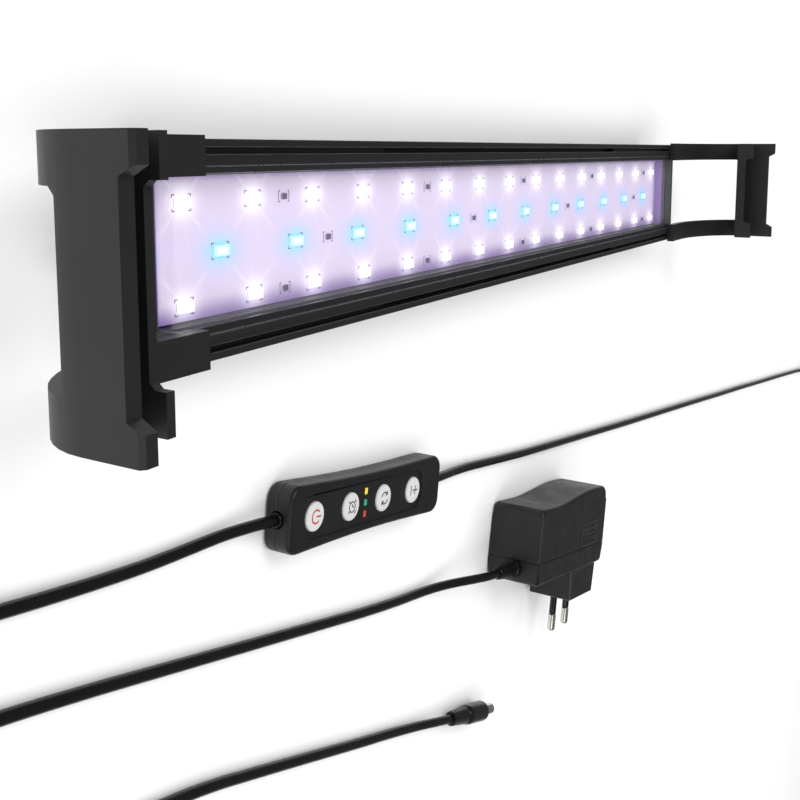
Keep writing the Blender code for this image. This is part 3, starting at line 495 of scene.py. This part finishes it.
def lathe(name, profile, material, at, body="light", replaces=(), segments=32):
    """Turned piece: (radius, height) pairs in mm from the top to the foot, about local Z."""
    shape = bmesh.new()
    rings = []
    for radius, height in profile:
        if radius == 0:
            rings.append([shape.verts.new((0, 0, height * MM))])
            continue
        ring = []
        for i in range(segments):
            a = 2 * math.pi * i / segments
            ring.append(shape.verts.new((radius * MM * math.cos(a), radius * MM * math.sin(a),
                                         height * MM)))
        rings.append(ring)
    for upper, lower in zip(rings, rings[1:]):
        for i in range(segments):
            j = (i + 1) % segments
            corners = [upper[i % len(upper)], lower[i % len(lower)], lower[j % len(lower)],
                       upper[j % len(upper)]]
            unique = list(dict.fromkeys(corners))
            if len(unique) > 2:
                shape.faces.new(unique)
    bmesh.ops.remove_doubles(shape, verts=shape.verts, dist=0.000001)
    bmesh.ops.recalc_face_normals(shape, faces=shape.faces)
    item = piece(name, shape, material, body, replaces, at)
    return soften(item, 0.00015, 2)


# ---------------------------------------------------------------- cords

CURVE_STEPS = 24  # between two points of a route, when it is measured

# Routes, in mm
LAMP_LEAD = [
    (-166.9, -94.9, 5.0), (-177.0, -93.5, 4.4), (-190.0, -92.6, 2.8), (-205.0, -92.0, 2.05),
    (-222.0, -90.8, 2.0), (-240.0, -88.8, 2.0), (-258.0, -86.4, 2.0), (-274.0, -84.0, 2.2),
    (-287.0, -82.2, 3.4), (-298.0, -81.0, 4.7),
]
SUPPLY_LEAD = [
    (-61.1, -111.7, 5.0), (-51.0, -113.3, 4.5), (-38.0, -115.3, 3.0), (-20.0, -118.0, 2.05),
    (10.0, -122.9, 2.0), (50.0, -129.2, 2.0), (100.0, -136.4, 2.0), (156.0, -144.4, 2.0),
    (205.0, -151.4, 2.0), (260.0, -159.0, 2.0), (330.0, -168.6, 2.0), (399.0, -178.2, 2.0),
    (470.0, -188.2, 2.0), (560.0, -200.6, 2.0), (650.0, -213.4, 2.0), (740.0, -226.0, 2.0),
    (820.0, -237.4, 2.0), (870.0, -244.6, 2.1), (895.0, -248.2, 3.0), (913.0, -250.8, 4.4),
    (928.0, -253.0, 5.2),
]
SUPPLY_CORD_OUT = [
    (-12.0, -170.3, 13.5), (-20.0, -168.6, 13.0), (-30.0, -166.7, 10.6), (-42.0, -164.8, 6.6),
    (-54.0, -163.0, 3.6), (-67.0, -160.9, 2.2), (-82.0, -158.0, 2.0), (-105.0, -152.8, 2.0),
    (-130.0, -146.6, 2.0), (-154.0, -140.6, 2.0), (-180.0, -134.1, 2.0), (-209.0, -126.8, 2.0),
    (-240.0, -119.0, 2.0), (-270.0, -112.0, 2.0), (-292.0, -108.0, 2.0), (-313.0, -106.5, 2.0),
]
SUPPLY_CORD_BACK = [
    (-310.0, -161.5, 6.2), (-300.0, -161.5, 5.4), (-288.0, -161.4, 3.4), (-274.0, -161.4, 2.1),
    (-250.0, -162.2, 2.0), (-230.0, -164.6, 2.0), (-212.0, -168.8, 2.0), (-195.0, -174.0, 2.0),
    (-179.0, -179.8, 2.0), (-151.0, -190.2, 2.0), (-113.0, -204.4, 2.0), (-90.0, -212.8, 2.0),
    (-68.0, -220.8, 2.7), (-54.0, -225.9, 3.9), (-41.0, -230.7, 4.8),
]
COIL_POINTS_A_TURN = 14
# Turns wound, radius and height of the coil's line
COIL_WINDING = [
    (0.0, 28.6, 2.0), (0.5, 26.6, 2.0), (1.0, 24.5, 2.0), (1.5, 22.4, 2.0), (1.95, 20.4, 2.0),
    (2.1, 20.3, 3.2), (2.25, 20.3, 4.6), (2.5, 20.7, 6.0), (3.0, 23.6, 6.2), (3.5, 26.5, 6.2),
]


def coil_points():
    """The turns of the supply's coil, from where its cord comes in to where it leaves."""
    turns = COIL_WINDING[-1][0]
    count = round(turns * COIL_POINTS_A_TURN)
    points = []
    for i in range(count):
        turn = turns * (i + 0.5) / count
        for (t0, r0, z0), (t1, r1, z1) in zip(COIL_WINDING, COIL_WINDING[1:]):
            if t0 <= turn <= t1:
                part = (turn - t0) / (t1 - t0)
                radius = r0 + (r1 - r0) * part
                height = z0 + (z1 - z0) * part
        angle = math.pi / 2 + 2 * math.pi * turn
        points.append((COIL_CENTRE[0] + radius * math.cos(angle),
                       COIL_CENTRE[1] + radius * math.sin(angle), height))
    return points


def along(points, spacing):
    """Points a given distance apart on a smooth curve through the route's own points."""
    route = [Vector(p) * MM for p in points]
    padded = [route[0] * 2 - route[1]] + route + [route[-1] * 2 - route[-2]]
    fine = []
    for i in range(1, len(padded) - 2):
        a, b, c, d = padded[i - 1:i + 3]
        for k in range(CURVE_STEPS):
            t = k / CURVE_STEPS
            fine.append(0.5 * (2 * b + (c - a) * t + (2 * a - 5 * b + 4 * c - d) * t * t
                               + (3 * b - a - 3 * c + d) * t ** 3))
    fine.append(route[-1])
    total = sum((q - p).length for p, q in zip(fine, fine[1:]))
    count = max(2, round(total / spacing))
    result = [fine[0]]
    walked = 0.0
    for p, q in zip(fine, fine[1:]):
        step = (q - p).length
        while len(result) < count and walked + step >= len(result) * total / count:
            result.append(p.lerp(q, (len(result) * total / count - walked) / step))
        walked += step
    result.append(fine[-1])
    return result, total


def cord(name, route, spacing, replaced):
    """A cord along a route, with its points a given distance apart."""
    points, length = along(route, spacing)
    curve = bpy.data.curves.new(name, "CURVE")
    curve.dimensions = "3D"
    curve.bevel_depth = CORD_DIAMETER / 2
    curve.bevel_resolution = 4
    curve.use_fill_caps = True
    spline = curve.splines.new("POLY")
    spline.points.add(len(points) - 1)
    for point, where in zip(spline.points, points):
        point.co = (*where, 1)
    spline.use_smooth = True
    item = bpy.data.objects.new(name, curve)
    bpy.context.scene.collection.objects.link(item)
    curve.materials.append(CORD)
    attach(item, "light")
    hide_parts(*replaced)


def boot(top_radius, foot_radius, top, rings):
    """Profile of a ringed strain relief, from its top to its foot."""
    profile = []
    step = top / rings
    for i in range(rings):
        high = top - i * step
        radius = top_radius + (foot_radius - top_radius) * i / rings
        profile += [(radius, high), (radius - 0.05, high - 0.62 * step),
                    (radius - 0.42, high - 0.68 * step), (radius - 0.45, high - 0.95 * step)]
    return profile + [(foot_radius - 0.3, 0.2), (foot_radius - 0.3, 0.0), (0.0, 0.0)]


def plug_pieces(prefix, at):
    """Low-voltage plug at the end of a cord, along local +Z from its boot."""
    body = lathe(prefix + "_shell", [
        (0.0, 34.0), (3.3, 34.0), (3.5, 33.8), (4.2, 33.8), (4.6, 33.4), (4.7, 32.7), (4.65, 26.0),
        (4.5, 18.0), (4.3, 16.4), (3.9, 15.4), (3.4, 15.0), (3.4, 14.2)] + boot(3.8, 3.1, 13.8, 5),
        SMOOTH_BLACK, at, replaces=[prefix + "_body"])
    barrel = lathe(prefix + "_sleeve", [
        (0.0, 38.0), (1.2, 38.0), (1.2, 44.0), (2.5, 44.0), (2.65, 43.7), (2.65, 34.3), (0.0, 34.3)],
        NICKEL, at, replaces=[prefix + "_barrel"])
    tip = lathe(prefix + "_tip", [
        (1.25, 44.1), (1.25, 44.75), (2.1, 44.75), (2.5, 44.5), (2.6, 44.1), (1.25, 44.1)],
        SMOOTH_BLACK, at)
    return [body, barrel, tip]


def make_coil_tie():
    """A band round the turns of the coil, on its -X side: it follows their rounded outline."""
    half_width = 1.1
    thickness = 0.35
    corner_radius = 2.25
    corners = (((28.9, 6.2), 0), ((20.1, 6.2), 90), ((20.1, 2.35), 180), ((28.9, 2.35), 270))
    middle = (24.5, 4.3)  # radius and height
    half_size = (7.0, 4.2)
    lowest = 0.05
    outline = []
    for corner, start in corners:
        outline += ring_points(corner_radius, start, start + 90, 5, corner)
    shape = bmesh.new()
    rings = []
    for y in (-half_width, half_width):
        for inset in (0.0, thickness):
            ring = []
            for r, z in outline:
                radius = middle[0] + (r - middle[0]) * (1 - inset / half_size[0])
                height = middle[1] + (z - middle[1]) * (1 - inset / half_size[1])
                ring.append(shape.verts.new((-radius * MM, y * MM, max(height, lowest) * MM)))
            rings.append(ring)
    count = len(outline)
    for a, b in ((0, 2), (2, 3), (3, 1), (1, 0)):
        for i in range(count):
            j = (i + 1) % count
            shape.faces.new((rings[a][i], rings[a][j], rings[b][j], rings[b][i]))
    bmesh.ops.recalc_face_normals(shape, faces=shape.faces)
    return piece("coil_tie", shape, TIE,
                 at=Matrix.Translation((COIL_CENTRE[0] * MM, COIL_CENTRE[1] * MM, 0)))


def lying(place, turn):
    """Placement of a turned piece that lies along X, turned about Z by some degrees."""
    return (Matrix.Translation(place) @ Matrix.Rotation(math.radians(turn), 4, "Z")
            @ Matrix.Rotation(math.pi / 2, 4, "Y"))


def make_cords():
    """The three cords, each with the plug, socket or tie that is on it."""
    lamp_plug = plug_pieces("lamp_plug", lying((-0.2983, -0.08095, 0.0048), 173.5))
    supply_plug = plug_pieces("supply_plug", lying((-0.0407, -0.2308, 0.0048), -20.9))
    socket = lathe("lead_socket_shell", [
        (0.0, 26.1), (2.9, 26.1), (2.9, 38.0), (4.6, 38.0), (5.1, 37.4), (5.2, 36.6), (5.1, 18.5),
        (4.8, 17.0), (4.3, 16.2), (3.8, 15.8), (3.8, 15.0)] + boot(4.2, 3.4, 14.6, 5),
        SMOOTH_BLACK, lying((0.9283, -0.25305, 0.00525), -8.4), replaces=["lead_socket_body"])
    pin = refined("lead_socket_pin", NICKEL, 0.0001)
    cord("control_lead_to_lamp", LAMP_LEAD, 0.004, ["lamp_lead"])
    cord("control_lead_to_supply", SUPPLY_LEAD, 0.008, ["supply_lead"])
    tie = make_coil_tie()
    cord("supply_cord", SUPPLY_CORD_OUT[:-1] + coil_points() + SUPPLY_CORD_BACK[1:], 0.004,
         ["supply_cord_out", "supply_cord_coil", "supply_cord_back"])


# ---------------------------------------------------------------- the light

WINDOW, PADS, CHIP = 1, 2, 3  # material slots of a row of chips, after its frames


def make_led_rows():
    """Each LED as a white frame with a lit window, on tinned pads; each resistor as a dark chip."""
    white_x = [(i - (WHITE_COUNT - 1) / 2) * WHITE_PITCH for i in range(WHITE_COUNT)]
    blue_x = [(i - (BLUE_COUNT - 1) / 2) * BLUE_PITCH for i in range(BLUE_COUNT)]
    beside_white = [x + WHITE_PITCH / 2 for x in white_x[1::3]]
    beside_blue = [x + BLUE_PITCH / 2 for x in blue_x[1::3]]
    ink = bmesh.new()
    for node, y, led_x, chip_x, case, light in (
            ("white_led_row_upper", ROW_Y + ROW_OFFSET, white_x, beside_white, LED_FRAME, LED_WHITE),
            ("white_led_row_lower", ROW_Y - ROW_OFFSET, white_x, beside_white, LED_FRAME, LED_WHITE),
            ("blue_led_row", ROW_Y, blue_x, beside_blue, LED_FRAME_BLUE, LED_BLUE)):
        shape = bmesh.new()
        for x in led_x:
            led(shape, x, y)
            corner_marks(ink, x, y, 3.7, 2.3, 1.1, 0.8)
        for x in chip_x:
            block(shape, (x - 1.0, y - 0.9, BOARD_TOP + 0.05), (x + 1.0, y + 0.9, BOARD_TOP + 0.6), CHIP)
            for end in (-1, 1):
                x0, x1 = sorted((x + end * 1.0, x + end * 1.6))
                block(shape, (x0, y - 0.8, BOARD_TOP + 0.02), (x1, y + 0.8, BOARD_TOP + 0.3), PADS)
            corner_marks(ink, x, y, 2.6, 1.7, 0.7, 1.7)
        piece(node + "_chips", shape, [case, light, TIN, CERAMIC], replaces=[node])
    piece("board_marks", ink, INK)


def led(shape, x, y):
    """One package: frame with a sloping well and a lit window at its bottom."""
    rings = []
    for half_x, half_y, height in ((2.85, 1.5, 0.1), (2.85, 1.5, 1.1), (2.35, 1.15, 1.15),
                                   (2.05, 0.9, 0.95)):
        z = (BOARD_TOP + height) * MM
        rings.append([shape.verts.new(((x + sx * half_x) * MM, (y + sy * half_y) * MM, z))
                      for sx, sy in ((-1, -1), (1, -1), (1, 1), (-1, 1))])
    shape.faces.new(rings[0][::-1])
    for lower, upper in zip(rings, rings[1:]):
        for i in range(4):
            j = (i + 1) % 4
            shape.faces.new((lower[i], lower[j], upper[j], upper[i]))
    window = shape.faces.new(rings[-1])
    window.material_index = WINDOW
    for end in (-1, 1):
        x0, x1 = sorted((x + end * 2.2, x + end * 3.1))
        block(shape, (x0, y - 1.2, BOARD_TOP + 0.01), (x1, y + 1.2, BOARD_TOP + 0.14), PADS)


def corner_marks(shape, x, y, half_x, half_y, arm_x, arm_y):
    """Printed corners round a chip."""
    line = 0.14
    foot = BOARD_TOP + 0.005
    top = BOARD_TOP + 0.03
    for sx in (-1, 1):
        for sy in (-1, 1):
            cx = x + sx * half_x
            cy = y + sy * half_y
            x0, x1 = sorted((cx + sx * line, cx - sx * arm_x))
            block(shape, (x0, cy - line, foot), (x1, cy + line, top))
            y0, y1 = sorted((cy + sy * line, cy - sy * arm_y))
            block(shape, (cx - line, y0, foot), (cx + line, y1, top))


def make_light():
    """The lamp and its two brackets."""
    refined("housing", ANODISED, 0.00025)
    for name in ("left", "right"):
        refined("end_cap_" + name, CAP, 0.0003)
        refined(name + "_bracket", BRACKET, 0.0006, 3)
        for edge in ("lower", "upper"):
            refined("cap_screw_" + name + "_" + edge, STEEL, 0.0002)
    refined("inlet_boss", CAP, 0.0004)
    refined("inlet_jack", NICKEL, 0.0001)
    refined("thermal_pad", PAD, 0.00015)
    refined("led_board", board_material(), 0.0001)
    refined("front_sheet", CLEAR_SHEET, 0.0002)
    make_led_rows()


# ---------------------------------------------------------------- controller

def stroke(shape, points, width, z0, z1, closed=False):
    """A flat line through 2D points, in mm, that stands from one height to another."""
    count = len(points)
    left = []
    right = []
    for i, point in enumerate(points):
        before = Vector(points[i - 1] if closed or i else points[0])
        after = Vector(points[(i + 1) % count] if closed or i < count - 1 else points[-1])
        direction = (after - before).normalized()
        side = Vector((-direction.y, direction.x)) * width / 2
        here = Vector(point)
        left.append(here + side)
        right.append(here - side)
    rows = []
    for line, z in ((left, z0), (right, z0), (right, z1), (left, z1)):
        rows.append([shape.verts.new((p.x * MM, p.y * MM, z * MM)) for p in line])
    for i in range(count if closed else count - 1):
        j = (i + 1) % count
        for a, b in ((0, 1), (1, 2), (2, 3), (3, 0)):
            shape.faces.new((rows[a][i], rows[a][j], rows[b][j], rows[b][i]))
    if not closed:
        shape.faces.new([row[0] for row in rows])
        shape.faces.new([row[-1] for row in rows][::-1])


def power_icon(line):
    """A broken ring with a bar through its gap."""
    line(ring_points(2.3, 42, 318), 0.55)
    line([(0.2, 0), (2.9, 0)], 0.55)


def timer_icon(line):
    """An alarm clock with its hands, feet and bells."""
    line(ring_points(1.9, 0, 351, 18), 0.4, True)
    line([(1.2, 0), (0, 0), (0, 1.1)], 0.38)
    for side in (-1, 1):
        line([(-1.5, side * 1.5), (-2.3, side * 2.2)], 0.4)
        line([(1.5, side * 2.5), (2.5, side * 1.5)], 0.45)


def mode_icon(line):
    """Two arrows that chase each other round a ring."""
    radius = 2.2
    head = 1.3
    for turn in (35, 215):
        line(ring_points(radius, turn, turn + 125, 14), 0.5)
        a = math.radians(turn)
        tip = (radius * math.cos(a), radius * math.sin(a))
        for lean in (55, 150):
            b = a + math.radians(lean)
            line([tip, (tip[0] + head * math.cos(b), tip[1] + head * math.sin(b))], 0.5)


def level_icon(line):
    """A bar beside a plus sign."""
    line([(-2.3, -1.9), (-2.3, 1.9)], 0.45)
    line([(-1.1, 0), (2.7, 0)], 0.45)
    line([(0.8, -1.9), (0.8, 1.9)], 0.45)


def make_icons():
    """Plain symbols on the buttons, raised a hair above them."""
    icons = {"power": power_icon, "timer": timer_icon, "mode": mode_icon, "level": level_icon}
    for name, x in BUTTONS.items():
        shape = bmesh.new()

        def line(points, width, closed=False):
            stroke(shape, points, width, BUTTON_TOP - 0.1, BUTTON_TOP + 0.05, closed)

        icons[name](line)
        bmesh.ops.recalc_face_normals(shape, faces=shape.faces)
        piece(name + "_symbol", shape, RED_INK if name == "power" else BLACK_INK, name + "_button",
              at=CONTROLLER @ Matrix.Translation((x * MM, 0, 0)))


def make_controller():
    """The in-line controller: case, buttons with their symbols, indicators and cord bushes."""
    to_local = CONTROLLER.inverted()
    inner_x = 47.5 * MM  # the sunk panel and the seam lie inside these
    inner_y = 9.2 * MM
    cover_top = 11.0 * MM

    def outer_rim(point, height):
        local = to_local @ point
        outside = abs(local.y) > inner_y or abs(local.x) > inner_x
        return outside and abs(local.z - height) < CLOSE

    refined("controller_cover", CASE, 0.00025, wide=(lambda p: outer_rim(p, cover_top), 0.0018, 4))
    refined("controller_base", CASE, 0.0002, wide=(lambda p: outer_rim(p, 0.0), 0.0012, 3))
    refined("controller_board", GREEN_BOARD, 0.0001)
    for name, x in BUTTONS.items():
        lathe(name + "_button_cap", [
            (0.0, BUTTON_TOP), (3.8, BUTTON_TOP), (4.6, 11.1), (5.0, 10.85), (5.2, 10.4), (5.2, 8.3),
            (6.0, 8.3), (6.0, 7.2), (0.0, 7.2)],
            WHITE_BUTTON, CONTROLLER @ Matrix.Translation((x * MM, 0, 0)), name + "_button",
            replaces=[name + "_button"], segments=40)
    make_icons()
    for name, material in LAMPS.items():
        refined("indicator_" + name, material, 0.0002)
    for name in ("in", "out"):
        refined("controller_bush_" + name, CORD, 0.0003, 3)


# ---------------------------------------------------------------- supply

def make_supply():
    """The plug-in supply: case, vents, plug block, pins and strain relief."""
    to_local = SUPPLY.inverted()
    block_face_y = 11.0 * MM  # where the case stops against the plug block

    def rim(point):
        local = to_local @ point
        if min(abs(local.z), abs(local.z - SUPPLY_TOP * MM)) > CLOSE:
            return False
        vents = 56.0 * MM < local.x < 80.0 * MM and 12.5 * MM < local.y < 24.0 * MM
        return not vents and abs(local.y - block_face_y) > 2 * CLOSE

    for name in ("supply_cover", "supply_base"):
        refined(name, CASE, 0.0003, wide=(rim, 0.0026, 5))
    refined("plug_block", CASE, 0.0008, 3)
    refined("supply_board", GREEN_BOARD, 0.0001)
    refined("supply_transformer", WINDING, 0.0004)
    vent_frame = bmesh.new()
    corners = (((77.6, 14.3), -90), ((77.6, 22.1), 0), ((58.4, 22.1), 90), ((58.4, 14.3), 180))
    outline = []
    for corner, start in corners:
        outline += ring_points(1.9, start, start + 90, 5, corner)
    stroke(vent_frame, outline, 0.4, SUPPLY_TOP - 0.1, SUPPLY_TOP + 0.22, True)
    bmesh.ops.recalc_face_normals(vent_frame, faces=vent_frame.faces)
    # Painted highlight: the vent frame takes the case's lighter edge material
    soften(piece("vent_frame", vent_frame, EDGES["case_plastic"], at=SUPPLY),
           0.0001)
    pin_turn = Matrix.Rotation(math.pi / 2, 4, "X")
    for side, x in PINS.items():
        lathe("pin_sleeve_" + side, [
            (0.0, 14.4), (1.75, 14.4), (1.8, 14.3), (1.8, 0.0), (0.0, 0.0)], SMOOTH_BLACK,
            SUPPLY @ Matrix.Translation(Vector((x, PIN_SLEEVE_Y, SUPPLY_MIDDLE)) * MM) @ pin_turn,
            replaces=["plug_pin_sleeve_" + side])
        lathe("pin_tip_" + side, [
            (0.0, 8.7), (0.7, 8.65), (1.3, 8.4), (1.8, 7.9), (2.0, 7.2), (2.0, 0.0), (0.0, 0.0)], NICKEL,
            SUPPLY @ Matrix.Translation(Vector((x, PIN_TIP_Y, SUPPLY_MIDDLE)) * MM) @ pin_turn,
            replaces=["plug_pin_" + side])
    profile = [(0.0, 18.0), (2.5, 18.0), (2.6, 17.8)]
    for i in range(7):
        high = 17.6 - i * 2.1
        radius = 2.9 + 0.22 * i
        groove = radius - 0.6
        profile += [(radius, high), (radius, high - 1.2), (groove, high - 1.3), (groove, high - 2.0)]
    profile += [(4.6, 2.5), (4.6, 0.3), (2.8, 0.3), (2.8, -2.6), (0.0, -2.6)]
    lathe("cord_relief", profile, CORD,
          SUPPLY @ Matrix.Translation((0, RELIEF_Y * MM, SUPPLY_MIDDLE * MM))
          @ Matrix.Rotation(-math.pi / 2, 4, "Y"),
          replaces=["supply_relief"])


# ---------------------------------------------------------------- studio

def make_studio():
    """Pale floor, even daylight that is dimmer in reflections, and three soft lights."""
    scene = bpy.context.scene
    scene.view_settings.view_transform = "Standard"
    world = bpy.data.worlds.new("studio")
    scene.world = world
    world.use_nodes = True
    background = world.node_tree.nodes["Background"]
    background.inputs["Color"].default_value = (1.0, 1.0, 1.0, 1.0)
    daylight = 0.85
    daylight_in_gloss = 0.22
    path = world.node_tree.nodes.new("ShaderNodeLightPath")
    level = world.node_tree.nodes.new("ShaderNodeMapRange")
    level.inputs["To Min"].default_value = daylight
    level.inputs["To Max"].default_value = daylight_in_gloss
    world.node_tree.links.new(path.outputs["Is Glossy Ray"], level.inputs["Value"])
    world.node_tree.links.new(level.outputs["Result"], background.inputs["Strength"])
    shape = bmesh.new()
    bmesh.ops.create_grid(shape, x_segments=1, y_segments=1, size=6.0)
    mesh = bpy.data.meshes.new("floor")
    shape.to_mesh(mesh)
    shape.free()
    floor = bpy.data.objects.new("floor", mesh)
    floor.location = (0.3, -0.1, -0.0003)
    scene.collection.objects.link(floor)
    floor.data.materials.append(principled(
        "pale_floor", (0.92, 0.92, 0.925), (0.90, 0.90, 0.905), patches=3.0, roughness=0.6,
        rough_span=0.05, rough_scale=8.0, bumps=[(90.0, 0.02, 0.0002)]))
    for name, where, aim, size, power in (
            ("key", (-0.35, 0.9, 1.3), (0.0, 0.0, 0.0), 0.9, 9.0),
            ("fill", (-1.2, -0.7, 0.9), (-0.1, -0.1, 0.0), 0.8, 5.0),
            ("back", (1.1, -0.6, 1.2), (0.1, -0.1, 0.0), 0.9, 6.0)):
        light = bpy.data.lights.new(name, "AREA")
        light.size = size
        light.energy = power
        item = bpy.data.objects.new(name, light)
        item.location = where
        item.visible_glossy = name != "back"  # it would whiten every top face
        item.rotation_euler = (Vector(aim) - Vector(where)).to_track_quat("-Z", "Y").to_euler()
        scene.collection.objects.link(item)


make_camera()
make_cords()
make_light()
make_controller()
make_supply()
make_studio()
